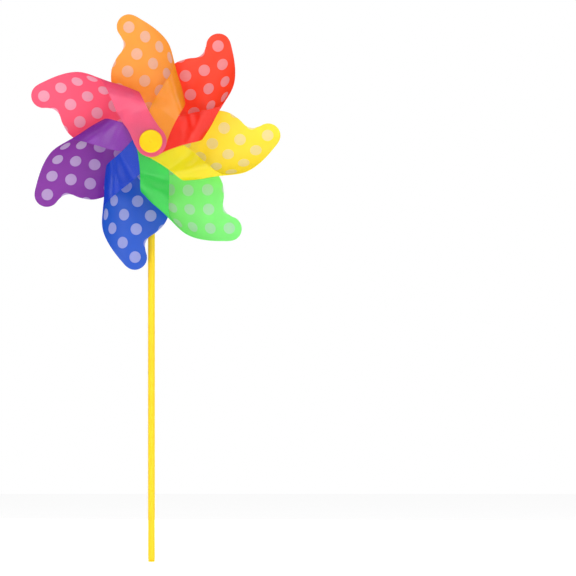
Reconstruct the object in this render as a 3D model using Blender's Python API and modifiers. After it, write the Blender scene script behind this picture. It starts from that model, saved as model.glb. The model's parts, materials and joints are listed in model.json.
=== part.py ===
"""Garden pinwheel with seven folded plastic blades on a hollow stick.

The origin is the centre of the stick's foot, +Z runs up the stick, and the wheel's
front faces -Y.  The wheel turns about a line parallel to Y through (0, 0, HUB_Z).
"""
import math

import bmesh
import bpy
import numpy as np
from mathutils import Matrix, Vector

# ---------------------------------------------------------------- driving sizes (metres)
MM = 0.001
HUB_Z = 393.75 * MM          # wheel axis above the foot of the stick
STICK_RADIUS = 3.3 * MM
STICK_BORE = 2.3 * MM
STICK_TOP = HUB_Z - 11.0 * MM
FIT_GAP = 0.15 * MM          # between pieces that touch on the real object

SHEET = 0.36 * MM            # thickness of the blade sheet
STACK_PITCH = 0.5 * MM       # one sheet plus its gap, where the blades lie on each other
TIP_HEIGHT = 111.0 * MM      # hub to the centre of a blade's round tip, lying flat
FRONT_EYE_RADIUS = 14.7 * MM  # round end that lies under the front cap
REAR_EYE_RADIUS = 12.2 * MM   # round end that lies on the rear flange
EYE_HOLE = 4.3 * MM

FOLD_LENGTH = 45.0 * MM      # rear eye to the fold, along the sheet
EYE_TO_EYE = 2 * FOLD_LENGTH
CURL_LENGTH = 20.0 * MM      # sheet on either side of the fold that takes the bend
CURL_POWER = 1.5             # how the slope grows over that length
UPPER_POWER = 1.2            # the same, for the upper part of the leaf
RISE_FROM = 28.0 * MM        # over this height the upper part's own bend takes over
RISE_TO = 60.0 * MM
TIP_DISTANCE = 109.0 * MM    # hub to the centre of the round tip, folded
BEND_START = -12.0 * MM      # where the upper part of the leaf starts to bend
EXTRA_LENGTH = 10.0 * MM     # how much further along the sheet its upper fold lies
SWAY = 5.0 * MM              # how far the upper part leans to the fold's side
LEAN = math.degrees(math.atan2(SWAY, TIP_DISTANCE))
STRETCH_TO = 55.0 * MM       # below this height the leaf makes up its tip distance
STACK_ENDS = (32.0 * MM, 44.0 * MM)  # radii between which blades leave the two stacks
EAR_LIFT = 10.0 * MM         # how much further forward the upper end of the ear lies
EAR_RISES = (30.0 * MM, 110.0 * MM)  # heights over which it gains that
FOLD_PUSH = 0.55             # how far the fold is pushed forward, towards the ear's level
EAR_CREST = 4.0 * MM         # how far the ear bulges forward between the fold and the eye
CREST_RISES = (3.0 * MM, 17.0 * MM)  # sheet beyond the fold over which the bulge rises
CREST_FALLS = (17.0 * MM, 38.0 * MM)
CREST_GROWS = (30.0 * MM, 48.0 * MM)  # radii over which it grows
SWIRL_LIFT = 5.0 * MM        # per radian: one side of each blade lies over the next blade
SWIRL_MIDDLE = 20.0          # degrees from the leaf's direction where that lift is nil
SWIRL_GROWS = (28.0 * MM, 50.0 * MM)
SWIRL_FADES = (55.0 * MM, 90.0 * MM)

PIN_RADIUS = 1.5 * MM
PIN_HOLE = 1.6 * MM          # in the barrel, where the pin runs
BARREL_RADIUS = 4.6 * MM
SPINDLE_RADIUS = 3.9 * MM
SPINDLE_BORE = 2.4 * MM
CAP_RADIUS = 10.8 * MM
CAP_THICKNESS = 2.4 * MM

# Distances in front of the stick's centre line, along -Y.
PIN_BACK = -10.4 * MM
BARREL_FRONT = 6.0 * MM
WASHER_BACK = BARREL_FRONT + FIT_GAP
WASHER_FRONT = WASHER_BACK + 1.0 * MM
BOSS_BACK = WASHER_FRONT + FIT_GAP
FLANGE_BACK = 15.4 * MM
FLANGE_FRONT = 16.6 * MM
LEAF_PLANE = FLANGE_FRONT + FIT_GAP + SHEET / 2   # middle of the rearmost sheet

# Blades clockwise from the frontmost one: name, colour, and the way its tip points, in whole
# degrees counter-clockwise from +X.  All are cut and bent alike.
BLADES = (
    ("pink", (0.98, 0.16, 0.27), 157),
    ("orange", (0.98, 0.32, 0.05), 101),
    ("red", (0.95, 0.06, 0.03), 55),
    ("yellow", (0.98, 0.72, 0.01), 3),
    ("green", (0.05, 0.70, 0.11), -48),
    ("blue", (0.01, 0.09, 0.60), -98),
    ("purple", (0.23, 0.04, 0.42), -153),
)
TRIM_YELLOW = (0.98, 0.70, 0.01)
PIN_WHITE = (0.80, 0.80, 0.76)

EPSILON = 1e-6


# ---------------------------------------------------------------- scene helpers
def clear_scene():
    for item in list(bpy.data.objects):
        bpy.data.objects.remove(item, do_unlink=True)


def new_collection(name):
    group = bpy.data.collections.new(name)
    bpy.context.scene.collection.children.link(group)
    return group


def plastic(name, colour, roughness):
    material = bpy.data.materials.new(name)
    material.use_nodes = True
    shader = material.node_tree.nodes["Principled BSDF"]
    shader.inputs["Base Color"].default_value = (*colour, 1.0)
    shader.inputs["Roughness"].default_value = roughness
    shader.inputs["Metallic"].default_value = 0.0
    return material


def add_object(name, mesh, group, material=None, parent=None):
    item = bpy.data.objects.new(name, mesh)
    group.objects.link(item)
    item.parent = parent
    if material:
        mesh.materials.append(material)
    return item


def smooth(mesh, angle=35.0):
    mesh.shade_smooth()
    mesh.set_sharp_from_angle(angle=math.radians(angle))


# ---------------------------------------------------------------- bent sheet
def ease(value, start, end):
    share = np.clip((value - start) / (end - start), 0.0, 1.0)
    return share * share * (3.0 - 2.0 * share)


def sheet_slope(across, rising):
    """Slope of the sheet in radians: 0 at the hub, upright at the fold, then over to pi."""
    fold = FOLD_LENGTH + EXTRA_LENGTH * rising
    start = (FOLD_LENGTH - CURL_LENGTH) * (1.0 - rising) + BEND_START * rising
    power = CURL_POWER * (1.0 - rising) + UPPER_POWER * rising
    leaf = np.clip((across - start) / (fold - start), 0.0, 1.0) ** power
    ear = np.clip(1.0 - (across - fold) / CURL_LENGTH, 0.0, 1.0) ** CURL_POWER
    return np.where(across <= fold, leaf, 2.0 - ear) * (math.pi / 2)


BEND_STEPS = 160
EYE_WALK = EYE_TO_EYE * (np.arange(BEND_STEPS) + 0.5) / BEND_STEPS
# Rear eye to front eye along the axle, and the back of the cap in front of all the eyes.
HUB_SPACING = float(EYE_TO_EYE * np.sin(sheet_slope(EYE_WALK, 0.0)).mean())
CAP_BACK = LEAF_PLANE + HUB_SPACING + (len(BLADES) - 1) * STACK_PITCH + SHEET / 2 + FIT_GAP


def bend_points(points, stack_place):
    """Place points of the flat blade on the folded one.

    The result has rows of (right, up, forward), with the blade pointing upright, measured
    from the rear eye of the last blade in the stack.
    """
    across, up = points[:, 0], points[:, 1]
    rising = ease(up, RISE_FROM, RISE_TO)
    walk = across[:, None] * (np.arange(BEND_STEPS) + 0.5) / BEND_STEPS
    slope = sheet_slope(walk, rising[:, None])
    right = across * np.cos(slope).mean(axis=1) + SWAY * rising
    eye_slope = sheet_slope(EYE_WALK, rising[:, None])
    share = across * np.sin(slope).mean(axis=1) / (EYE_TO_EYE * np.sin(eye_slope).mean(axis=1))
    pushed = np.clip(share, 0.0, 1.0)
    share += FOLD_PUSH * ease(up, 0.0, 20.0 * MM) * pushed * (1.0 - pushed)
    forward = share * (HUB_SPACING + EAR_LIFT * ease(up, *EAR_RISES))
    up = up + (TIP_DISTANCE - TIP_HEIGHT) * ease(up, REAR_EYE_RADIUS, STRETCH_TO)
    fold = FOLD_LENGTH + EXTRA_LENGTH * rising
    radius = np.hypot(right, up)
    forward += STACK_PITCH * stack_place * (1.0 - ease(radius, *STACK_ENDS))
    crest = ease(across - fold, *CREST_RISES) * (1.0 - ease(across - fold, *CREST_FALLS))
    forward += EAR_CREST * crest * ease(radius, *CREST_GROWS)
    swirl = ease(radius, *SWIRL_GROWS) * (1.0 - ease(radius, *SWIRL_FADES))
    angle = np.arctan2(right, up) - math.radians(SWIRL_MIDDLE)
    return np.stack((right, up, forward + SWIRL_LIFT * swirl * angle), 1)


# ---------------------------------------------------------------- blade outline
def arc(centre, radius, start, end, count):
    """Points on an arc, its angles in degrees counter-clockwise from the right."""
    turns = [math.radians(start + (end - start) * i / (count - 1)) for i in range(count)]
    return [(centre[0] + radius * math.cos(t), centre[1] + radius * math.sin(t)) for t in turns]


def blade_outline():
    """Flat outline in metres, clockwise: tip, outer edge, front eye, fold, rear eye, wave."""
    tip = arc((0.2 * MM, 111.4 * MM), 11.6 * MM, 190, 55, 6)
    shoulder = [(14.0, 115.0), (33.0, 98.3), (46.5, 86.0), (51.0, 80.8), (55.5, 73.3)]
    edge = [(60.0, 65.5), (66.0, 59.0), (72.0, 52.2), (77.3, 44.0), (82.0, 34.5), (87.0, 24.8)]
    front = arc((EYE_TO_EYE, 0), FRONT_EYE_RADIUS, 45, -150, 9)
    fold_foot = [(75.0, -3.0), (65.0, 10.5), (54.0, 22.0), (46.5, 27.5), (34.5, 34.0)]
    notch = [(26.0, 37.4), (20.0, 37.4), (16.2, 33.8), (14.2, 27.0), (12.8, 14.0)]
    rear = arc((0, 0), REAR_EYE_RADIUS, 0, -180, 8)
    leg = [(-11.8, 14.0), (-12.0, 28.0), (-14.5, 40.0), (-20.0, 48.5), (-25.5, 55.8)]
    wave = [(-28.2, 63.0), (-27.3, 70.5), (-24.6, 77.5), (-17.5, 86.2), (-10.7, 92.0),
            (-8.4, 98.0), (-9.5, 104.5)]

    def metres(points):
        return [(x * MM, y * MM) for x, y in points]

    return (tip + metres(shoulder + edge) + front + metres(fold_foot + notch) + rear
            + metres(leg + wave))


def smooth_loop(points, longest):
    """Closed centripetal spline through the points, with no step over the given length."""
    result = []
    count = len(points)
    for i in range(count):
        p0, p1, p2, p3 = (Vector(points[(i + j) % count]) for j in (-1, 0, 1, 2))
        t1 = (p1 - p0).length ** 0.5
        t2 = t1 + (p2 - p1).length ** 0.5
        t3 = t2 + (p3 - p2).length ** 0.5
        parts = max(1, math.ceil((p2 - p1).length / longest))
        for part in range(parts):
            t = t1 + (t2 - t1) * part / parts
            a1 = p0 * ((t1 - t) / t1) + p1 * (t / t1)
            a2 = p1 * ((t2 - t) / (t2 - t1)) + p2 * ((t - t1) / (t2 - t1))
            a3 = p2 * ((t3 - t) / (t3 - t2)) + p3 * ((t - t2) / (t3 - t2))
            b1 = a1 * ((t2 - t) / t2) + a2 * (t / t2)
            b2 = a2 * ((t3 - t) / (t3 - t1)) + a3 * ((t - t1) / (t3 - t1))
            result.append(b1 * ((t2 - t) / (t2 - t1)) + b2 * ((t - t1) / (t2 - t1)))
    return result


def cut_positions():
    """Where the flat blade is divided, so that it can bend: finer around the fold."""
    fine, coarse = 2.8 * MM, 6.0 * MM
    across = []
    place = -24.0 * MM
    while place < EYE_TO_EYE + 12.0 * MM:
        across.append(place)
        near_fold = -CURL_LENGTH < place - FOLD_LENGTH < CURL_LENGTH
        place += fine if near_fold else coarse
    up = [(-8.4 + 7.7 * i) * MM for i in range(17)]
    return across, up


def flat_blade():
    """The flat blade as one face, divided by a grid of cuts and made of triangles."""
    flat = bmesh.new()
    corners = [flat.verts.new((x, y, 0)) for x, y in smooth_loop(blade_outline(), 4.5 * MM)]
    flat.faces.new(corners)
    across, up = cut_positions()
    cuts = [((x, 0, 0), (1, 0, 0)) for x in across] + [((0, y, 0), (0, 1, 0)) for y in up]
    for place, normal in cuts:
        everything = flat.verts[:] + flat.edges[:] + flat.faces[:]
        bmesh.ops.bisect_plane(flat, geom=everything, dist=EPSILON, plane_co=place,
                               plane_no=normal)
    close = [e for e in flat.edges if e.calc_length() < 0.7 * MM]
    bmesh.ops.collapse(flat, edges=close)
    bmesh.ops.triangulate(flat, faces=flat.faces[:])
    return flat


def blade_mesh(name, stack_place, direction):
    """A folded blade around the wheel's centre, its tip pointing in its own direction."""
    blade = flat_blade()
    turn = Matrix.Rotation(math.radians(90.0 - direction), 3, "Y")
    flat_points = np.array([corner.co.xy for corner in blade.verts])
    folded = bend_points(flat_points, stack_place).tolist()
    for corner, (right, up, forward) in zip(blade.verts, folded):
        corner.co = turn @ Vector((right, -LEAF_PLANE - forward, up))
    bmesh.ops.recalc_face_normals(blade, faces=blade.faces[:])
    mesh = bpy.data.meshes.new(name)
    blade.to_mesh(mesh)
    blade.free()
    return mesh


def make_blade(entry, stack_place, group, parent, eye_cutter):
    name, colour, tip_direction = entry
    mesh = blade_mesh(name + "_blade", stack_place, tip_direction + LEAN)
    blade = add_object(name + "_blade", mesh, group, plastic(name + "_sheet", colour, 0.38), parent)
    thicken = blade.modifiers.new("thicken", "SOLIDIFY")
    thicken.thickness = SHEET
    thicken.offset = 0.0
    punch = blade.modifiers.new("punch_eyes", "BOOLEAN")
    punch.operation = "DIFFERENCE"
    punch.object = eye_cutter
    smooth(mesh)
    return blade


# ---------------------------------------------------------------- turned pieces
def turned(name, profile, group, material, parent=None, sides=24):
    """A piece turned about its local Z from (radius, height) points, outer side first."""
    mesh = bpy.data.meshes.new(name)
    lathe = bmesh.new()
    corners = [lathe.verts.new((radius, 0, height)) for radius, height in profile]
    for start, end in zip(corners, corners[1:] + corners[:1]):
        if start.co.x > EPSILON or end.co.x > EPSILON:
            lathe.edges.new((start, end))
    lathe.to_mesh(mesh)
    lathe.free()
    item = add_object(name, mesh, group, material, parent)
    screw = item.modifiers.new("turn", "SCREW")
    screw.steps = sides
    screw.render_steps = sides
    screw.use_merge_vertices = True
    screw.merge_threshold = 0.00001
    return item


def rounded(radius, height, corner, steps=4):
    """Quarter circle from the side of a disc up to its top face, as (radius, height)."""
    turns = [math.pi / 2 * i / steps for i in range(steps + 1)]
    return [(radius - corner + corner * math.cos(t), height - corner + corner * math.sin(t))
            for t in turns]


def rounded_foot(radius, height, corner, steps=4):
    """Quarter circle from the bottom face of a disc out to its side."""
    return [(r, 2 * height - h) for r, h in reversed(rounded(radius, height, corner, steps))]


def make_stick(group, material):
    """Hollow stick, with a plug in its foot."""
    foot = 1.6 * MM
    tube = [(STICK_RADIUS, STICK_TOP), (STICK_RADIUS, foot + FIT_GAP),
            (STICK_BORE, foot + FIT_GAP), (STICK_BORE, STICK_TOP)]
    stick = turned("stick_tube", tube, group, material)
    spigot = STICK_BORE - FIT_GAP
    plug = [(spigot - 0.4 * MM, 9.0 * MM), (spigot, 8.4 * MM), (spigot, foot),
            (STICK_RADIUS - 0.3 * MM, foot), (STICK_RADIUS, foot - 0.3 * MM)]
    plug += [(r, h) for r, h in reversed(rounded_foot(STICK_RADIUS, 0.0, 0.8 * MM))]
    plug += [(0, 0), (0, 9.0 * MM)]
    foot_plug = turned("foot_plug", plug, group, material)
    return stick, foot_plug


def make_axle_holder(group, material, cutters):
    """Fitting in the top of the stick: a spigot, a collar and a cross barrel for the pin."""
    spigot = STICK_BORE - FIT_GAP
    seat = STICK_TOP + FIT_GAP
    post = [(2.4 * MM, HUB_Z), (3.3 * MM, HUB_Z - 3.0 * MM), (3.3 * MM, seat + 2.2 * MM)]
    post += [(4.2 * MM, seat + 1.6 * MM), (4.2 * MM, seat + 0.4 * MM), (3.8 * MM, seat)]
    post += [(spigot, seat), (spigot, seat - 13.0 * MM), (spigot - 0.5 * MM, seat - 14.0 * MM)]
    post += [(0, seat - 14.0 * MM), (0, HUB_Z)]
    holder = turned("axle_holder", post, group, material)
    half = BARREL_FRONT
    barrel_profile = rounded(BARREL_RADIUS, half, 0.6 * MM, 3)
    barrel_profile = list(reversed(barrel_profile)) + [(r, -h) for r, h in barrel_profile]
    barrel_profile += [(0, -half), (0, half)]
    barrel = turned("holder_barrel", barrel_profile, cutters, None)
    bore = turned("holder_bore", [(PIN_HOLE, 8 * MM), (PIN_HOLE, -8 * MM), (0, -8 * MM), (0, 8 * MM)],
                  cutters, None)
    for tool in (barrel, bore):
        tool.location = (0, 0, HUB_Z)
        tool.rotation_euler = (math.pi / 2, 0, 0)
        hide_tool(tool)
    join = holder.modifiers.new("join_barrel", "BOOLEAN")
    join.operation = "UNION"
    join.object = barrel
    drill = holder.modifiers.new("drill_bore", "BOOLEAN")
    drill.operation = "DIFFERENCE"
    drill.object = bore
    return holder


def hide_tool(tool):
    tool.hide_render = True
    tool.display_type = "WIRE"


def make_hub(group, wheel, yellow, white):
    """Rotor core, front cap, axle pin, washer and the clip behind the holder.

    Their profiles give distances in front of the stick as heights.
    """
    core = [(SPINDLE_RADIUS - 0.4 * MM, CAP_BACK - FIT_GAP), (SPINDLE_RADIUS, CAP_BACK - 0.8 * MM)]
    core += [(SPINDLE_RADIUS, FLANGE_FRONT), (10.6 * MM, FLANGE_FRONT)]
    core += [(11.0 * MM, FLANGE_FRONT - 0.4 * MM), (11.0 * MM, FLANGE_BACK + 0.4 * MM)]
    core += [(10.6 * MM, FLANGE_BACK), (5.6 * MM, FLANGE_BACK), (4.8 * MM, FLANGE_BACK - 0.8 * MM)]
    core += [(4.4 * MM, BOSS_BACK), (PIN_RADIUS + FIT_GAP, BOSS_BACK)]
    core += [(PIN_RADIUS + FIT_GAP, CAP_BACK - 10.0 * MM), (SPINDLE_BORE, CAP_BACK - 10.0 * MM)]
    core += [(SPINDLE_BORE, CAP_BACK - FIT_GAP)]
    rotor = turned("rotor_core", core, group, yellow, wheel)

    front = CAP_BACK + CAP_THICKNESS
    plug = SPINDLE_BORE - FIT_GAP
    cap = [(0, front), (6.0 * MM, front), (9.3 * MM, front - 0.15 * MM), (10.2 * MM, front - 0.5 * MM)]
    cap += [(10.65 * MM, front - 1.0 * MM), (CAP_RADIUS, front - 1.5 * MM)]
    cap += [(CAP_RADIUS, CAP_BACK + 0.3 * MM), (CAP_RADIUS - 0.3 * MM, CAP_BACK)]
    cap += [(plug, CAP_BACK), (plug, CAP_BACK - 6.0 * MM), (plug - 0.5 * MM, CAP_BACK - 7.0 * MM)]
    cap += [(0, CAP_BACK - 7.0 * MM)]
    front_cap = turned("front_cap", cap, group, yellow, wheel, sides=40)

    pin_front = CAP_BACK - 10.0 * MM
    head = 2.1 * MM
    pin = [(0, pin_front + 1.4 * MM), (head - 0.5 * MM, pin_front + 1.4 * MM)]
    pin += [(head, pin_front + 0.9 * MM), (head, pin_front + FIT_GAP), (PIN_RADIUS, pin_front + FIT_GAP)]
    pin += [(PIN_RADIUS, PIN_BACK + 0.5 * MM), (PIN_RADIUS - 0.4 * MM, PIN_BACK), (0, PIN_BACK)]
    axle_pin = turned("axle_pin", pin, group, white, wheel)

    hole = PIN_RADIUS + FIT_GAP
    washer_profile = [(hole, WASHER_FRONT), (3.3 * MM, WASHER_FRONT), (3.6 * MM, WASHER_FRONT - 0.3 * MM)]
    washer_profile += [(3.6 * MM, WASHER_BACK + 0.3 * MM), (3.3 * MM, WASHER_BACK), (hole, WASHER_BACK)]
    washer = turned("spacer_washer", washer_profile, group, white, wheel)

    clip_front = -BARREL_FRONT - FIT_GAP
    clip_back = clip_front - 2.6 * MM
    clip_profile = [(hole, clip_front), (3.9 * MM, clip_front), (4.2 * MM, clip_front - 0.3 * MM)]
    clip_profile += [(4.2 * MM, clip_back + 1.2 * MM), (3.0 * MM, clip_back), (hole, clip_back)]
    clip = turned("rear_clip", clip_profile, group, yellow, wheel)
    for piece in (rotor, front_cap, axle_pin, washer, clip):
        piece.rotation_euler = (math.pi / 2, 0, 0)


def make_eye_cutter(cutters, wheel):
    """The round punch for both eyes of every blade."""
    profile = [(EYE_HOLE, 45.0 * MM), (EYE_HOLE, 10.0 * MM), (0, 10.0 * MM), (0, 45.0 * MM)]
    cutter = turned("eye_cutter", profile, cutters, None, wheel)
    cutter.rotation_euler = (math.pi / 2, 0, 0)
    hide_tool(cutter)
    return cutter


# ---------------------------------------------------------------- the object
def main():
    clear_scene()
    group = new_collection("pinwheel")
    cutters = new_collection("cutters")
    yellow = plastic("yellow_trim", TRIM_YELLOW, 0.35)
    white = plastic("natural_nylon", PIN_WHITE, 0.4)
    wheel = bpy.data.objects.new("wheel_axis", None)
    group.objects.link(wheel)
    wheel.location = (0, 0, HUB_Z)
    make_stick(group, yellow)
    make_axle_holder(group, yellow, cutters)
    make_hub(group, wheel, yellow, white)
    eye_cutter = make_eye_cutter(cutters, wheel)
    last = len(BLADES) - 1
    for index, entry in enumerate(BLADES):
        make_blade(entry, last - index, group, wheel, eye_cutter)


main()
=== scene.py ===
import json
import math

import bmesh
import bpy
import numpy as np
from mathutils import Matrix, Vector


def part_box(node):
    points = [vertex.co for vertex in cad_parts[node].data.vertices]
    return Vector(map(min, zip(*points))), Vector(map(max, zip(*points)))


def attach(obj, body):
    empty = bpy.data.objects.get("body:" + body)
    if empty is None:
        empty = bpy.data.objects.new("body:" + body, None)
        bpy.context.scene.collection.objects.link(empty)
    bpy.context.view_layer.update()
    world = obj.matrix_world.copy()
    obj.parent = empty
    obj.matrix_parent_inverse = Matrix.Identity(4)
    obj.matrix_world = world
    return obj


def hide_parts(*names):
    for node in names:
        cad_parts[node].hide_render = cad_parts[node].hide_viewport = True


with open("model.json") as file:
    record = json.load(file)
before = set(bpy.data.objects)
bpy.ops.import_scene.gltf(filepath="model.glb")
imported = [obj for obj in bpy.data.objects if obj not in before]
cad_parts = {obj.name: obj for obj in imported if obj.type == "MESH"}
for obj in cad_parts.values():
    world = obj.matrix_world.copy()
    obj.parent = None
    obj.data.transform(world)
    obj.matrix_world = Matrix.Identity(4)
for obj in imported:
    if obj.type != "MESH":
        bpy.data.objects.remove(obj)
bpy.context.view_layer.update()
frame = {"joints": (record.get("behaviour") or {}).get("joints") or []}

MM = 0.001
HUB = Vector(frame["joints"][0]["pos_m"])

# ---------------------------------------------------------------- sizes of the folded sheet
SHEET = 0.36 * MM             # thickness
STACK_PITCH = 0.5 * MM        # one sheet plus its gap, where the blades lie on each other
TIP_HEIGHT = 111.0 * MM       # hub to the centre of a blade's round tip, lying flat
FRONT_EYE_RADIUS = 14.7 * MM  # round end that lies under the cap
REAR_EYE_RADIUS = 12.2 * MM   # round end that lies on the rear flange
EYE_HOLE = 4.3 * MM
FIT_GAP = 0.15 * MM           # between pieces that touch on the real object
FLANGE_FRONT = 16.6 * MM
LEAF_PLANE = FLANGE_FRONT + FIT_GAP + SHEET / 2

FOLD_LENGTH = 45.0 * MM       # rear eye to the fold, along the sheet
EYE_TO_EYE = 2 * FOLD_LENGTH
CURL_LENGTH = 20.0 * MM       # sheet on either side of the fold that takes the bend
CURL_POWER = 1.5              # how the slope grows over that length
UPPER_POWER = 1.2             # the same, for the upper part of the leaf
RISE_FROM = 28.0 * MM         # over this height the upper part's own bend takes over
RISE_TO = 60.0 * MM
TIP_DISTANCE = 109.0 * MM     # hub to the centre of the round tip, folded
BEND_START = -12.0 * MM       # where the upper part of the leaf starts to bend
EXTRA_LENGTH = 10.0 * MM      # how much further along the sheet its upper fold lies
SWAY = 5.0 * MM               # how far the upper part leans to the fold's side
LEAN = math.degrees(math.atan2(SWAY, TIP_DISTANCE))
STRETCH_TO = 55.0 * MM        # below this height the leaf makes up its tip distance
STACK_ENDS = (32.0 * MM, 44.0 * MM)   # radii between which blades leave the two stacks
EAR_LIFT = 10.0 * MM          # how much further forward the upper end of the ear lies
EAR_RISES = (30.0 * MM, 110.0 * MM)   # heights over which it gains that
FOLD_PUSH = 0.55              # how far the fold is pushed forward, towards the ear's level
PUSH_RISES = (0.0, 20.0 * MM)
EAR_CREST = 4.0 * MM          # how far the ear bulges forward between the fold and the eye
CREST_RISES = (3.0 * MM, 17.0 * MM)   # sheet beyond the fold over which the bulge rises
CREST_FALLS = (17.0 * MM, 38.0 * MM)
CREST_GROWS = (30.0 * MM, 48.0 * MM)  # radii over which it grows
SWIRL_LIFT = 5.0 * MM         # per radian: one side of each blade lies over the next blade
SWIRL_MIDDLE = 20.0           # degrees from the leaf's direction where that lift is nil
SWIRL_GROWS = (28.0 * MM, 50.0 * MM)
SWIRL_FADES = (55.0 * MM, 90.0 * MM)

# The visual sheet is divided more finely in its curl than elsewhere.
OUTLINE_STEP = 1.2 * MM
CURL_STEP = 1.2 * MM
CURL_SPAN = (15 * MM, 75 * MM)
FLAT_STEP = 2.0 * MM
HEIGHT_STEP = 1.8 * MM
SHORTEST_EDGE = 0.2 * MM

# Moulded pieces.
TUBE_WALL = 1.0 * MM
SHAFT_HOLE = 1.65 * MM        # in the pieces that the axle pin holds
BARREL_HOLE = 1.6 * MM        # in the fitting on the stick, where the pin runs
PIN_RADIUS = 1.5 * MM
SPINDLE_RADIUS = 3.9 * MM
SPINDLE_BORE = 2.4 * MM
SPINDLE_DEPTH = 10.0 * MM
FLANGE_THICKNESS = 1.2 * MM
CAP_THICKNESS = 2.4 * MM
CAP_WALL = 1.4 * MM
CAP_PLUG_RADIUS = 2.25 * MM

# Blades clockwise from the frontmost one: name, and the way its tip points, in whole
# degrees counter-clockwise from +X.  All are cut and bent alike.
BLADES = (
    ("pink", 157),
    ("orange", 101),
    ("red", 55),
    ("yellow", 3),
    ("green", -48),
    ("blue", -98),
    ("purple", -153),
)
# Colours in linear light: the printed face of the sheet, and its plain back. The plain back
# shows on the ears and is the same plastic, but its colours were set to how the ears looked, so
# besides the sheet's colour they hold painted light: painted shade where they are darker than
# the printed face, as on the green, and a painted highlight where they are lighter, as on the
# purple.
SHEET_COLOURS_WITH_PAINTED_EAR_LIGHT = {
    "pink": ((0.95, 0.13, 0.25), (0.95, 0.14, 0.30)),
    "orange": ((0.95, 0.50, 0.06), (0.95, 0.40, 0.02)),
    "red": ((0.95, 0.10, 0.03), (0.95, 0.02, 0.0)),
    "yellow": ((0.95, 0.80, 0.06), (0.95, 0.85, 0.0)),
    "green": ((0.35, 0.90, 0.30), (0.06, 0.75, 0.12)),
    "blue": ((0.01, 0.14, 0.65), (0.01, 0.08, 0.70)),
    "purple": ((0.30, 0.02, 0.40), (0.35, 0.05, 0.55)),
}
SEE_THROUGH = 0.5                # share of the sheet's light that comes through it
SHEET_SPECULAR = 0.8
MOULDED_SPECULAR = 0.2
EXTRUDED_SPECULAR = 0.3
PRINTED_ROUGHNESS = (0.40, 0.48)
PLAIN_ROUGHNESS = (0.24, 0.28)
TRIM_YELLOW = (0.96, 0.54, 0.0005)
STICK_YELLOW = (0.94, 0.62, 0.008)
NYLON = (0.78, 0.78, 0.73)

DOT_PITCH = 18.5 * MM
DOT_RADIUS = 5.4 * MM
DOT_ROW_ANGLE = math.radians(-42)
DOT_INK = (0.75, 0.70, 0.80)
DOT_COVER = 0.7                  # share of the dot's colour that is ink and not sheet
DOT_EDGE = 0.012                 # softness and raggedness of a dot's edge, in pitches
UV_METRES = 0.1                  # one UV unit on a blade is this much flat sheet

# Softboxes in two rings about the wheel's axis, by angle from the right in degrees and watts.
# The far ring lights the colours, and the near one lays a soft streak along each ear.
FAR_RING = ((90, 2.7), (45, 2.7), (0, 2.7), (-30, 3.5),
            (-90, 2.1), (-135, 2.7), (180, 2.7), (135, 2.7))
FAR_RING_OFF_AXIS = math.radians(50)
FAR_RING_SIZE = 0.6
NEAR_RING = tuple((45 * i, 0.5) for i in range(8))
NEAR_RING_OFF_AXIS = math.radians(14)
NEAR_RING_SIZE = 0.2
RING_DISTANCE = 1.4
BACK_POWER = 26.0
BACK_SIZE = 2.0
BACK_PLACE = HUB + Vector((0.2, 1.4, 0.4))
ROOM_LIGHT = 0.10
FLOOR_GLOW = 0.85
FLOOR_HALF = 3.0
FLOOR_DROP = 0.6 * MM            # floor below the foot of the stick

LENS = 600.0                     # long, so that the view is nearly without perspective
CAMERA_DISTANCE = 9.0
VIEW_WIDTH = 0.54
VIEW_RIGHT = 0.128               # middle of the view, to the right of the hub and below it
VIEW_DOWN = 0.137

SHARP_ANGLE = math.radians(38)


# ---------------------------------------------------------------- bent sheet
def ease(value, start, end):
    share = np.clip((value - start) / (end - start), 0.0, 1.0)
    return share * share * (3.0 - 2.0 * share)


def sheet_slope(across, rising):
    """Slope of the sheet in radians: 0 at the hub, upright at the fold, then over to pi."""
    fold = FOLD_LENGTH + EXTRA_LENGTH * rising
    start = (FOLD_LENGTH - CURL_LENGTH) * (1.0 - rising) + BEND_START * rising
    power = CURL_POWER * (1.0 - rising) + UPPER_POWER * rising
    leaf = np.clip((across - start) / (fold - start), 0.0, 1.0) ** power
    ear = np.clip(1.0 - (across - fold) / CURL_LENGTH, 0.0, 1.0) ** CURL_POWER
    return np.where(across <= fold, leaf, 2.0 - ear) * (math.pi / 2)


BEND_STEPS = 160
EYE_WALK = EYE_TO_EYE * (np.arange(BEND_STEPS) + 0.5) / BEND_STEPS
HUB_SPACING = float(EYE_TO_EYE * np.sin(sheet_slope(EYE_WALK, 0.0)).mean())


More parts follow.
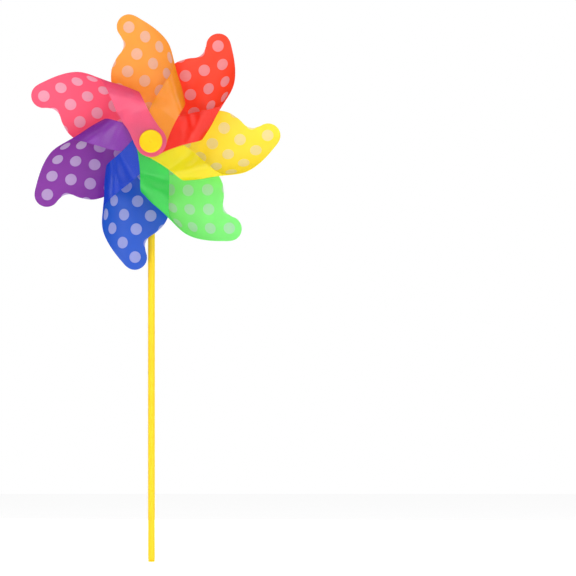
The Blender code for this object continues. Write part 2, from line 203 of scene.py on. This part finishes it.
def bend_points(points, stack_place):
    """Place points of the flat blade on the folded one.

    The result has rows of (right, up, forward), with the blade pointing upright, measured
    from the rear eye of the last blade in the stack.
    """
    across, up = points[:, 0], points[:, 1]
    rising = ease(up, RISE_FROM, RISE_TO)
    walk = across[:, None] * (np.arange(BEND_STEPS) + 0.5) / BEND_STEPS
    slope = sheet_slope(walk, rising[:, None])
    right = across * np.cos(slope).mean(axis=1) + SWAY * rising
    eye_slope = sheet_slope(EYE_WALK, rising[:, None])
    share = across * np.sin(slope).mean(axis=1) / (EYE_TO_EYE * np.sin(eye_slope).mean(axis=1))
    pushed = np.clip(share, 0.0, 1.0)
    share += FOLD_PUSH * ease(up, *PUSH_RISES) * pushed * (1.0 - pushed)
    forward = share * (HUB_SPACING + EAR_LIFT * ease(up, *EAR_RISES))
    up = up + (TIP_DISTANCE - TIP_HEIGHT) * ease(up, REAR_EYE_RADIUS, STRETCH_TO)
    fold = FOLD_LENGTH + EXTRA_LENGTH * rising
    radius = np.hypot(right, up)
    forward += STACK_PITCH * stack_place * (1.0 - ease(radius, *STACK_ENDS))
    crest = ease(across - fold, *CREST_RISES) * (1.0 - ease(across - fold, *CREST_FALLS))
    forward += EAR_CREST * crest * ease(radius, *CREST_GROWS)
    swirl = ease(radius, *SWIRL_GROWS) * (1.0 - ease(radius, *SWIRL_FADES))
    angle = np.arctan2(right, up) - math.radians(SWIRL_MIDDLE)
    return np.stack((right, up, forward + SWIRL_LIFT * swirl * angle), 1)


# ---------------------------------------------------------------- blade outline
def arc(centre, radius, start, end, count):
    turns = [math.radians(start + (end - start) * i / (count - 1)) for i in range(count)]
    return [(centre[0] + radius * math.cos(t), centre[1] + radius * math.sin(t)) for t in turns]


def blade_outline():
    """Flat outline in metres, clockwise: tip, outer edge, front eye, fold, rear eye, wave."""
    tip = arc((0.2 * MM, 111.4 * MM), 11.6 * MM, 190, 55, 6)
    shoulder = [(14.0, 115.0), (33.0, 98.3), (46.5, 86.0), (51.0, 80.8), (55.5, 73.3)]
    edge = [(60.0, 65.5), (66.0, 59.0), (72.0, 52.2), (77.3, 44.0), (82.0, 34.5), (87.0, 24.8)]
    front = arc((EYE_TO_EYE, 0), FRONT_EYE_RADIUS, 45, -150, 9)
    fold_foot = [(75.0, -3.0), (65.0, 10.5), (54.0, 22.0), (46.5, 27.5), (34.5, 34.0)]
    notch = [(26.0, 37.4), (20.0, 37.4), (16.2, 33.8), (14.2, 27.0), (12.8, 14.0)]
    rear = arc((0, 0), REAR_EYE_RADIUS, 0, -180, 8)
    leg = [(-11.8, 14.0), (-12.0, 28.0), (-14.5, 40.0), (-20.0, 48.5), (-25.5, 55.8)]
    wave = [(-28.2, 63.0), (-27.3, 70.5), (-24.6, 77.5), (-17.5, 86.2), (-10.7, 92.0),
            (-8.4, 98.0), (-9.5, 104.5)]

    def metres(points):
        return [(x * MM, y * MM) for x, y in points]

    return (tip + metres(shoulder + edge) + front + metres(fold_foot + notch) + rear
            + metres(leg + wave))


def smooth_loop(points, longest):
    """Closed centripetal spline through the points, with no step over the given length."""
    result = []
    count = len(points)
    for i in range(count):
        p0, p1, p2, p3 = (Vector(points[(i + j) % count]) for j in (-1, 0, 1, 2))
        t1 = (p1 - p0).length ** 0.5
        t2 = t1 + (p2 - p1).length ** 0.5
        t3 = t2 + (p3 - p2).length ** 0.5
        parts = max(1, math.ceil((p2 - p1).length / longest))
        for part in range(parts):
            t = t1 + (t2 - t1) * part / parts
            a1 = p0 * ((t1 - t) / t1) + p1 * (t / t1)
            a2 = p1 * ((t2 - t) / (t2 - t1)) + p2 * ((t - t1) / (t2 - t1))
            a3 = p2 * ((t3 - t) / (t3 - t2)) + p3 * ((t - t2) / (t3 - t2))
            b1 = a1 * ((t2 - t) / t2) + a2 * (t / t2)
            b2 = a2 * ((t3 - t) / (t3 - t1)) + a3 * ((t - t1) / (t3 - t1))
            result.append(b1 * ((t2 - t) / (t2 - t1)) + b2 * ((t - t1) / (t2 - t1)))
    return result


def steps_between(start, end, step_at):
    """Places from start to end, each step as long as step_at(place) says."""
    places = [start]
    while places[-1] < end:
        places.append(places[-1] + step_at(places[-1]))
    return places


def flat_blade():
    """The flat blade, facing forward, divided finely so that it bends smoothly."""
    flat = bmesh.new()
    outline = smooth_loop(blade_outline(), OUTLINE_STEP)
    corners = [flat.verts.new((x, y, 0)) for x, y in reversed(outline)]
    flat.faces.new(corners)

    def step_at(across):
        return CURL_STEP if CURL_SPAN[0] < across < CURL_SPAN[1] else FLAT_STEP

    across = steps_between(-28.0 * MM, EYE_TO_EYE + FRONT_EYE_RADIUS, step_at)
    up = steps_between(-14.0 * MM, TIP_HEIGHT + 12 * MM, lambda place: HEIGHT_STEP)
    cuts = [((x, 0, 0), (1, 0, 0)) for x in across] + [((0, y, 0), (0, 1, 0)) for y in up]
    for place, normal in cuts:
        everything = flat.verts[:] + flat.edges[:] + flat.faces[:]
        bmesh.ops.bisect_plane(flat, geom=everything, dist=1e-7, plane_co=place,
                               plane_no=normal)
    short = [e for e in flat.edges if e.calc_length() < SHORTEST_EDGE]
    bmesh.ops.collapse(flat, edges=short)
    many_sided = [f for f in flat.faces if len(f.verts) > 4]
    bmesh.ops.triangulate(flat, faces=many_sided)
    layer = flat.loops.layers.uv.new("flat")
    for face in flat.faces:
        for loop in face.loops:
            loop[layer].uv = loop.vert.co.xy / UV_METRES
    mesh = bpy.data.meshes.new("flat_blade")
    flat.to_mesh(mesh)
    flat.free()
    return mesh


# ---------------------------------------------------------------- shader helpers
class Nodes:
    """Short calls for building one material's node tree."""

    def __init__(self, name):
        self.material = bpy.data.materials.new(name)
        self.material.use_nodes = True
        self.tree = self.material.node_tree
        self.tree.nodes.clear()

    def add(self, kind, settings=None, **inputs):
        node = self.tree.nodes.new("ShaderNode" + kind)
        for key, value in (settings or {}).items():
            setattr(node, key, value)
        for key, value in inputs.items():
            self.put(node, key.replace("_", " "), value)
        return node

    def put(self, node, key, value):
        socket = node.inputs[int(key)] if key.isdigit() else node.inputs[key]
        if isinstance(value, bpy.types.NodeSocket):
            self.tree.links.new(value, socket)
        else:
            socket.default_value = value

    def maths(self, operation, first, second):
        node = self.tree.nodes.new("ShaderNodeMath")
        node.operation = operation
        self.put(node, "0", first)
        self.put(node, "1", second)
        return node.outputs[0]

    def vector_maths(self, operation, first, second=(0.0, 0.0, 0.0)):
        node = self.tree.nodes.new("ShaderNodeVectorMath")
        node.operation = operation
        self.put(node, "0", first)
        self.put(node, "1", second)
        return node.outputs["Value" if operation == "LENGTH" else "Vector"]

    def spread(self, value, low, high, to_low=0.0, to_high=1.0):
        node = self.add("MapRange", {"interpolation_type": "SMOOTHSTEP"})
        for key, number in (("Value", value), ("From Min", low), ("From Max", high),
                            ("To Min", to_low), ("To Max", to_high)):
            self.put(node, key, number)
        return node.outputs["Result"]

    def noise(self, vector, scale, detail=3.0):
        return self.add("TexNoise", Vector=vector, Scale=scale, Detail=detail,
                        Roughness=0.5).outputs["Fac"]

    def cloud(self, vector, scale, detail, to_low=0.0, to_high=1.0):
        """The middle range of a noise, spread between two values."""
        return self.spread(self.noise(vector, scale, detail), 0.3, 0.7, to_low, to_high)

    def mix_colour(self, share, first, second):
        node = self.tree.nodes.new("ShaderNodeMix")
        node.data_type = "RGBA"
        self.put(node, "0", share)
        self.put(node, "6", first)
        self.put(node, "7", second)
        return node.outputs[2]

    def bump(self, height, strength, distance, normal=None):
        node = self.add("Bump", Height=height, Strength=strength, Distance=distance)
        if normal:
            self.put(node, "Normal", normal)
        return node.outputs["Normal"]

    def finish(self, shader):
        output = self.tree.nodes.new("ShaderNodeOutputMaterial")
        self.tree.links.new(shader, output.inputs["Surface"])
        return self.material


def rgba(colour):
    return (*colour, 1.0)


def darker(colour, share):
    return rgba(tuple(channel * share for channel in colour))


# ---------------------------------------------------------------- materials
def dot_mask(n, flat_uv):
    """1 inside the printed dots, 0 outside, from a blade's flat coordinates."""
    centred = n.vector_maths("SUBTRACT", flat_uv, (0.0, TIP_HEIGHT / UV_METRES, 0.0))
    turned = n.add("VectorRotate", {"rotation_type": "Z_AXIS"}, Vector=centred,
                   Angle=-DOT_ROW_ANGLE).outputs["Vector"]
    cells = n.vector_maths("SCALE", turned)
    cells.node.inputs["Scale"].default_value = UV_METRES / DOT_PITCH
    shifted = n.vector_maths("ADD", cells, (0.5, 0.5, 0.0))
    inside = n.vector_maths("FRACTION", shifted)
    from_centre = n.vector_maths("SUBTRACT", inside, (0.5, 0.5, 0.0))
    flattened = n.vector_maths("MULTIPLY", from_centre, (1.0, 1.0, 0.0))
    distance = n.vector_maths("LENGTH", flattened)
    ragged = n.noise(flat_uv, 900.0, 2.0)
    wander = n.maths("MULTIPLY", n.maths("SUBTRACT", ragged, 0.5), DOT_EDGE)
    edge = n.maths("ADD", distance, wander)
    radius = DOT_RADIUS / DOT_PITCH
    return n.spread(edge, radius + DOT_EDGE, radius - DOT_EDGE)


def sheet_material(name, printed):
    """Thin polypropylene sheet that glows with the light behind it, with or without dots."""
    # On the plain back, the colour holds painted shade and a painted highlight for the ears,
    # besides the sheet's own colour.
    tint = SHEET_COLOURS_WITH_PAINTED_EAR_LIGHT[name][0 if printed else 1]
    n = Nodes(name + ("_printed" if printed else "_plain_with_painted_light"))
    flat_uv = n.add("UVMap", {"uv_map": "flat"}).outputs["UV"]
    colour = n.mix_colour(n.cloud(flat_uv, 9.0, 2.0), darker(tint, 0.97), rgba(tint))
    low, high = PRINTED_ROUGHNESS if printed else PLAIN_ROUGHNESS
    roughness = n.cloud(flat_uv, 160.0, 4.0, low, high)
    if printed:
        grain = n.cloud(flat_uv, 1500.0, 2.0, 0.86, 1.0)
        ink = n.maths("MULTIPLY", dot_mask(n, flat_uv), grain)
        colour = n.mix_colour(n.maths("MULTIPLY", ink, DOT_COVER), colour, rgba(DOT_INK))
        roughness = n.maths("ADD", roughness, n.maths("MULTIPLY", ink, 0.08))
    drawn = n.vector_maths("MULTIPLY", flat_uv, (14.0, 260.0, 1.0))
    lines = n.noise(drawn, 1.0, 3.0)
    grain_bump = n.bump(n.noise(flat_uv, 700.0, 3.0), 0.10, 0.00012)
    normal = n.bump(lines, 0.10, 0.0003, grain_bump)
    surface = n.add("BsdfPrincipled", Base_Color=colour, Roughness=roughness, Normal=normal)
    surface.inputs["Specular IOR Level"].default_value = SHEET_SPECULAR
    through = n.add("BsdfTranslucent", Color=colour, Normal=normal)
    mixed = n.add("MixShader", Fac=SEE_THROUGH)
    n.put(mixed, "1", surface.outputs["BSDF"])
    n.put(mixed, "2", through.outputs["BSDF"])
    return n.finish(mixed.outputs["Shader"])


def moulded_material(name, colour, roughness, scattering):
    """Injection-moulded plastic: faint flow clouding and fine satin grain."""
    n = Nodes(name)
    place = n.add("TexCoord").outputs["Object"]
    tint = n.mix_colour(n.cloud(place, 90.0, 3.0), darker(colour, 0.94), rgba(colour))
    rough = n.cloud(place, 1400.0, 4.0, roughness - 0.04, roughness + 0.06)
    fine = n.bump(n.noise(place, 3500.0, 2.0), 0.12, 0.00008)
    surface = n.add("BsdfPrincipled", Base_Color=tint, Roughness=rough, Normal=fine)
    surface.inputs["Specular IOR Level"].default_value = MOULDED_SPECULAR
    surface.inputs["Subsurface Weight"].default_value = scattering
    surface.inputs["Subsurface Radius"].default_value = (1.0, 0.6, 0.2)
    surface.inputs["Subsurface Scale"].default_value = 0.0012
    return n.finish(surface.outputs["BSDF"])


def extruded_material(name, colour):
    """Extruded tube: long draw lines down its length over faint clouding."""
    n = Nodes(name)
    place = n.add("TexCoord").outputs["Object"]
    lines_at = n.vector_maths("MULTIPLY", place, (2600.0, 2600.0, 9.0))
    lines = n.noise(lines_at, 1.0, 3.0)
    tint = n.mix_colour(n.cloud(place, 35.0, 3.0), darker(colour, 0.95), rgba(colour))
    rough = n.spread(lines, 0.3, 0.7, 0.30, 0.42)
    normal = n.bump(lines, 0.15, 0.0001)
    surface = n.add("BsdfPrincipled", Base_Color=tint, Roughness=rough, Normal=normal)
    surface.inputs["Specular IOR Level"].default_value = EXTRUDED_SPECULAR
    surface.inputs["Subsurface Weight"].default_value = 0.25
    surface.inputs["Subsurface Radius"].default_value = (1.0, 0.7, 0.2)
    surface.inputs["Subsurface Scale"].default_value = 0.0015
    return n.finish(surface.outputs["BSDF"])


# ---------------------------------------------------------------- mesh helpers
def link(name, mesh, *materials):
    item = bpy.data.objects.new(name, mesh)
    bpy.context.scene.collection.objects.link(item)
    for material in materials:
        mesh.materials.append(material)
    return item


def bake_modifiers(item):
    """Replace the object's mesh by what its modifiers make of it."""
    graph = bpy.context.evaluated_depsgraph_get()
    mesh = bpy.data.meshes.new_from_object(item.evaluated_get(graph))
    item.modifiers.clear()
    item.data = mesh


def smooth(item):
    item.data.shade_smooth()
    item.data.set_sharp_from_angle(angle=SHARP_ANGLE)


def rounded_profile(corners, steps=6):
    """A profile of (radius, height, rounding) corners, with each rounding as an arc."""
    result = []
    count = len(corners)
    for i, (x, y, size) in enumerate(corners):
        corner = Vector((x, y))
        if size <= 0 or i in (0, count - 1):
            result.append(corner)
            continue
        before = Vector(corners[i - 1][:2]) - corner
        after = Vector(corners[i + 1][:2]) - corner
        half = before.angle(after) / 2
        if half > math.radians(89):
            continue
        reach = min(size / math.tan(half), before.length * 0.49, after.length * 0.49)
        radius = reach * math.tan(half)
        start = corner + before.normalized() * reach
        end = corner + after.normalized() * reach
        centre = corner + (before.normalized() + after.normalized()).normalized() * (
            radius / math.sin(half))
        first, last = start - centre, end - centre
        sweep = first.angle_signed(last) * -1
        for step in range(steps + 1):
            turn = Matrix.Rotation(sweep * step / steps, 2)
            result.append(centre + turn @ first)
    return result


def lathe(name, corners, material, body, node, facing="up", sides=96):
    """A turned piece from (radius, height, rounding) corners, outer side from top to bottom.

    Facing "front" turns it about the wheel's axis, with heights measured forward.
    """
    profile = rounded_profile(corners)
    shape = bmesh.new()
    rings = []
    for corner in profile:
        if corner.x < 1e-6:
            rings.append([shape.verts.new((0, 0, corner.y))])
            continue
        turns = [2 * math.pi * i / sides for i in range(sides)]
        rings.append([shape.verts.new((corner.x * math.cos(t), corner.x * math.sin(t), corner.y))
                      for t in turns])
    closed = corners[0][0] > 1e-6
    pairs = list(zip(rings, rings[1:])) + ([(rings[-1], rings[0])] if closed else [])
    for upper, lower in pairs:
        for i in range(sides):
            j = (i + 1) % sides
            if len(upper) == 1 and len(lower) == 1:
                continue
            if len(upper) == 1:
                shape.faces.new((upper[0], lower[i], lower[j]))
            elif len(lower) == 1:
                shape.faces.new((upper[i], lower[0], upper[j]))
            else:
                shape.faces.new((upper[i], lower[i], lower[j], upper[j]))
    bmesh.ops.recalc_face_normals(shape, faces=shape.faces[:])
    if facing == "front":
        place = Matrix.Translation(HUB) @ Matrix.Rotation(math.pi / 2, 4, "X")
        bmesh.ops.transform(shape, matrix=place, verts=shape.verts[:])
    mesh = bpy.data.meshes.new(name)
    shape.to_mesh(mesh)
    shape.free()
    item = link(name, mesh, material)
    smooth(item)
    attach(item, body)
    if node:
        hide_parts(node)
    return item


# ---------------------------------------------------------------- blades
def eye_punch():
    """A cylinder through both stacks of eyes."""
    depth = HUB_SPACING + 20 * MM
    shape = bmesh.new()
    bmesh.ops.create_cone(shape, cap_ends=True, segments=64, radius1=EYE_HOLE,
                          radius2=EYE_HOLE, depth=depth)
    middle = Vector((0, -LEAF_PLANE - HUB_SPACING / 2, 0))
    place = Matrix.Translation(HUB + middle) @ Matrix.Rotation(math.pi / 2, 4, "X")
    bmesh.ops.transform(shape, matrix=place, verts=shape.verts[:])
    mesh = bpy.data.meshes.new("eye_punch")
    shape.to_mesh(mesh)
    shape.free()
    return link("eye_punch", mesh)


def make_blade(flat, entry, stack_place, punch):
    name, tip_direction = entry
    direction = tip_direction + LEAN
    mesh = flat.copy()
    turn = Matrix.Rotation(math.radians(90.0 - direction), 3, "Y")
    flat_points = np.array([vertex.co.xy for vertex in mesh.vertices])
    folded = bend_points(flat_points, stack_place).tolist()
    for vertex, (right, up, forward) in zip(mesh.vertices, folded):
        vertex.co = HUB + turn @ Vector((right, -LEAF_PLANE - forward, up))
    blade = link(name + "_sheet", mesh, sheet_material(name, True), sheet_material(name, False))
    thicken = blade.modifiers.new("thicken", "SOLIDIFY")
    thicken.thickness = SHEET
    thicken.offset = 0.0
    thicken.material_offset = 1
    thicken.material_offset_rim = 1
    cut = blade.modifiers.new("cut", "BOOLEAN")
    cut.operation = "DIFFERENCE"
    cut.object = punch
    bake_modifiers(blade)
    smooth(blade)
    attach(blade, "wheel")
    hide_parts(name + "_blade")


def make_blades():
    flat = flat_blade()
    punch = eye_punch()
    last = len(BLADES) - 1
    for index, entry in enumerate(BLADES):
        make_blade(flat, entry, last - index, punch)
    bpy.data.objects.remove(punch, do_unlink=True)


# ---------------------------------------------------------------- stick and hub
def make_stick(stick_plastic, trim):
    low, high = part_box("stick_tube")
    radius = high.x
    bore = radius - TUBE_WALL
    tube = [(radius, high.z, 0), (radius, low.z, 0.1 * MM),
            (bore, low.z, 0.1 * MM), (bore, high.z, 0)]
    stick = lathe("stick", tube, stick_plastic, "stick", "stick_tube")
    low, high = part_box("foot_plug")
    head = 1.6 * MM
    spigot = bore - FIT_GAP
    plug = [(0, high.z, 0), (spigot, high.z, 0.5 * MM), (spigot, head, 0.1 * MM),
            (radius, head, 0.25 * MM), (radius, low.z, 0.8 * MM), (0, low.z, 0)]
    foot = lathe("foot", plug, trim, "stick", "foot_plug")


def make_cap(trim):
    low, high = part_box("front_cap")
    radius = (high.x - low.x) / 2
    front = -low.y
    back = front - CAP_THICKNESS
    plug = CAP_PLUG_RADIUS
    dish = front - 0.18 * MM
    gate = front - 0.35 * MM
    profile = [(0, gate, 0), (1.0 * MM, gate, 0.1 * MM),
               (1.3 * MM, dish, 0.2 * MM), (8.6 * MM, dish, 0.6 * MM),
               (9.5 * MM, front, 0.7 * MM), (radius, front - 0.5 * MM, 0.9 * MM),
               (radius, back, 0.3 * MM), (radius - CAP_WALL, back, 0.1 * MM),
               (plug, back, 0.2 * MM), (plug, -high.y, 0.5 * MM), (0, -high.y, 0)]
    cap = lathe("cap", profile, trim, "wheel", "front_cap", "front", 128)


def make_hub(trim, nylon):
    low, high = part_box("rotor_core")
    front, back = -low.y, -high.y
    flange_back = FLANGE_FRONT - FLANGE_THICKNESS
    bore_end = front - SPINDLE_DEPTH
    core = [(SPINDLE_RADIUS, front, 0.4 * MM), (SPINDLE_RADIUS, FLANGE_FRONT, 0.3 * MM),
            (high.x, FLANGE_FRONT, 0.4 * MM), (high.x, flange_back, 0.4 * MM),
            (5.6 * MM, flange_back, 0.6 * MM), (4.4 * MM, back, 0.3 * MM),
            (SHAFT_HOLE, back, 0.1 * MM), (SHAFT_HOLE, bore_end, 0.1 * MM),
            (SPINDLE_BORE, bore_end, 0.1 * MM), (SPINDLE_BORE, front, 0.1 * MM)]
    rotor = lathe("rotor", core, trim, "wheel", "rotor_core", "front")

    low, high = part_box("axle_pin")
    front, back = -low.y, -high.y
    head_back = front - 1.25 * MM
    pin = [(0, front, 0), (high.x, front, 0.5 * MM), (high.x, head_back, 0.1 * MM),
           (PIN_RADIUS, head_back, 0.1 * MM), (PIN_RADIUS, back, 0.4 * MM), (0, back, 0)]
    axle = lathe("axle", pin, nylon, "wheel", "axle_pin", "front", 64)

    low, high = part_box("spacer_washer")
    ring = [(high.x, -low.y, 0.3 * MM), (high.x, -high.y, 0.3 * MM),
            (SHAFT_HOLE, -high.y, 0.15 * MM), (SHAFT_HOLE, -low.y, 0.15 * MM)]
    washer = lathe("washer", ring, nylon, "wheel", "spacer_washer", "front", 64)

    low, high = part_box("rear_clip")
    front, back = -low.y, -high.y
    cup = [(high.x, front, 0.3 * MM), (high.x, back + 1.2 * MM, 0.5 * MM),
           (3.0 * MM, back, 0.4 * MM), (SHAFT_HOLE, back, 0.2 * MM),
           (SHAFT_HOLE, front, 0.1 * MM)]
    clip = lathe("clip", cup, trim, "wheel", "rear_clip", "front", 64)


def make_holder(trim):
    """Fitting in the stick's top: spigot, collar and post, with the cross barrel joined on."""
    low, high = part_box("axle_holder")
    tube_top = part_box("stick_tube")[1]
    seat = tube_top.z + FIT_GAP
    spigot = tube_top.x - TUBE_WALL - FIT_GAP
    neck, collar = 3.3 * MM, 4.2 * MM
    post = [(0, HUB.z, 0), (2.4 * MM, HUB.z, 0), (neck, HUB.z - 3 * MM, 0.5 * MM),
            (neck, seat + 2.2 * MM, 0.4 * MM), (collar, seat + 1.6 * MM, 0.4 * MM),
            (collar, seat, 0.5 * MM), (spigot, seat, 0.1 * MM), (spigot, low.z, 0.6 * MM),
            (0, low.z, 0)]
    holder = lathe("holder", post, trim, "stick", "axle_holder")
    half, radius = -low.y, high.x
    cross = [(radius, half, 0.6 * MM), (radius, -half, 0.6 * MM),
             (BARREL_HOLE, -half, 0.2 * MM), (BARREL_HOLE, half, 0.2 * MM)]
    barrel = lathe("barrel", cross, trim, "stick", None, "front")


# ---------------------------------------------------------------- studio
def make_floor():
    shape = bmesh.new()
    bmesh.ops.create_grid(shape, x_segments=8, y_segments=8, size=FLOOR_HALF)
    mesh = bpy.data.meshes.new("floor")
    shape.to_mesh(mesh)
    shape.free()
    n = Nodes("floor_paper")
    place = n.add("TexCoord").outputs["Object"]
    tint = n.mix_colour(n.noise(place, 6.0), rgba((0.93, 0.93, 0.93)),
                        rgba((0.96, 0.96, 0.96)))
    surface = n.add("BsdfPrincipled", Base_Color=tint, Roughness=0.8)
    surface.inputs["Emission Color"].default_value = (1.0, 1.0, 1.0, 1.0)
    surface.inputs["Emission Strength"].default_value = FLOOR_GLOW
    floor = link("floor", mesh, n.finish(surface.outputs["BSDF"]))
    floor.location = (0, 0, -FLOOR_DROP)


def area_light(name, place, size, power):
    """A round softbox, unseen by the camera, that faces the wheel."""
    data = bpy.data.lights.new(name, "AREA")
    data.shape = "DISK"
    data.size = size
    data.energy = power
    item = bpy.data.objects.new(name, data)
    bpy.context.scene.collection.objects.link(item)
    item.visible_camera = False
    item.location = place
    item.rotation_euler = (HUB - place).to_track_quat("-Z", "Y").to_euler()


def softbox_ring(name, boxes, off_axis, size):
    for angle, power in boxes:
        turn = math.radians(angle)
        side, front = math.sin(off_axis), math.cos(off_axis)
        offset = Vector((side * math.cos(turn), -front, side * math.sin(turn)))
        area_light(name, HUB + RING_DISTANCE * offset, size, power)


def make_studio():
    """White behind the object, a dim even room light on it, and the softboxes."""
    scene = bpy.context.scene
    world = bpy.data.worlds.new("studio")
    scene.world = world
    world.use_nodes = True
    nodes, links = world.node_tree.nodes, world.node_tree.links
    nodes.clear()
    seen = nodes.new("ShaderNodeBackground")
    seen.inputs["Color"].default_value = (1, 1, 1, 1)
    seen.inputs["Strength"].default_value = 1.0
    felt = nodes.new("ShaderNodeBackground")
    felt.inputs["Color"].default_value = (1, 1, 1, 1)
    felt.inputs["Strength"].default_value = ROOM_LIGHT
    path = nodes.new("ShaderNodeLightPath")
    mix = nodes.new("ShaderNodeMixShader")
    output = nodes.new("ShaderNodeOutputWorld")
    links.new(path.outputs["Is Camera Ray"], mix.inputs["Fac"])
    links.new(felt.outputs[0], mix.inputs[1])
    links.new(seen.outputs[0], mix.inputs[2])
    links.new(mix.outputs[0], output.inputs["Surface"])
    softbox_ring("far_softbox", FAR_RING, FAR_RING_OFF_AXIS, FAR_RING_SIZE)
    softbox_ring("near_softbox", NEAR_RING, NEAR_RING_OFF_AXIS, NEAR_RING_SIZE)
    area_light("back", BACK_PLACE, BACK_SIZE, BACK_POWER)
    scene.view_settings.view_transform = "Standard"


def make_camera():
    """Square on to the wheel from far off; the object stands left of the middle."""
    data = bpy.data.cameras.new("camera")
    data.lens = LENS
    data.sensor_width = LENS * VIEW_WIDTH / CAMERA_DISTANCE
    data.clip_start = 0.1
    data.clip_end = 60.0
    camera = bpy.data.objects.new("camera", data)
    bpy.context.scene.collection.objects.link(camera)
    camera.location = (HUB.x + VIEW_RIGHT, -CAMERA_DISTANCE, HUB.z - VIEW_DOWN)
    camera.rotation_euler = (math.pi / 2, 0, 0)
    bpy.context.scene.camera = camera


def main():
    trim = moulded_material("trim_yellow", TRIM_YELLOW, 0.32, 0.2)
    stick_plastic = extruded_material("stick_yellow", STICK_YELLOW)
    nylon = moulded_material("natural_nylon", NYLON, 0.42, 0.3)
    make_camera()
    make_studio()
    make_floor()
    make_stick(stick_plastic, trim)
    make_holder(trim)
    make_hub(trim, nylon)
    make_cap(trim)
    make_blades()


main()
